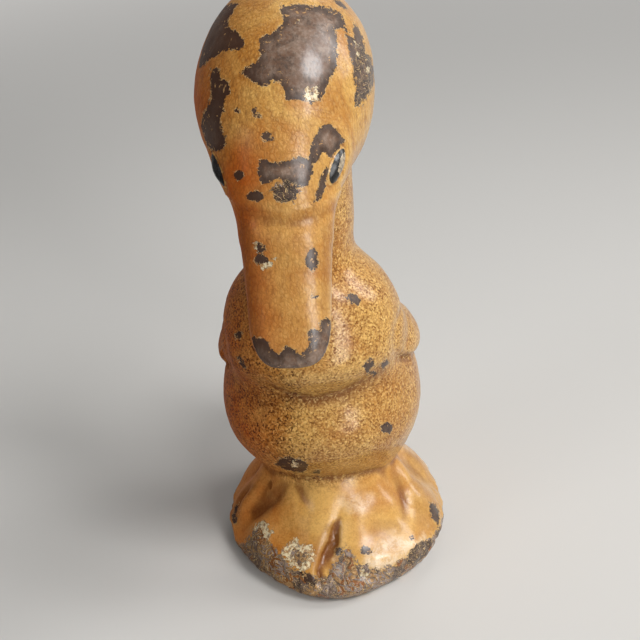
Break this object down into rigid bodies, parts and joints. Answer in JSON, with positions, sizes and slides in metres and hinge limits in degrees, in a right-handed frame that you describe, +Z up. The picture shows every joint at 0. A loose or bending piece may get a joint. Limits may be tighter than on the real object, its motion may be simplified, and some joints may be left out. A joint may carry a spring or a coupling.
{
  "type": "duck paperweight",
  "caption": "Standing duck figure with a long bill and webbed feet, cast in two hollow halves held together by a cross screw, used as a paperweight.",
  "frame": {"origin": "on the standing plane, on the joint plane between the two halves, under the middle of the duck's length", "axes": "+Z up, -Y the way the bill points, +X the duck's left; the joint plane of the halves is x = 0"},
  "size_m": [0.0296, 0.0428, 0.0765],
  "materials": {
    "left_paint": "ochre enamel, satin, chipped to dark iron",
    "right_paint": "ochre enamel, satin, chipped to dark iron",
    "screw_steel": "dull aged steel"
  },
  "bodies": {
    "root": {"left_casting": "left_paint", "right_casting": "right_paint", "assembly_screw": "screw_steel"}
  },
  "joints": []
}
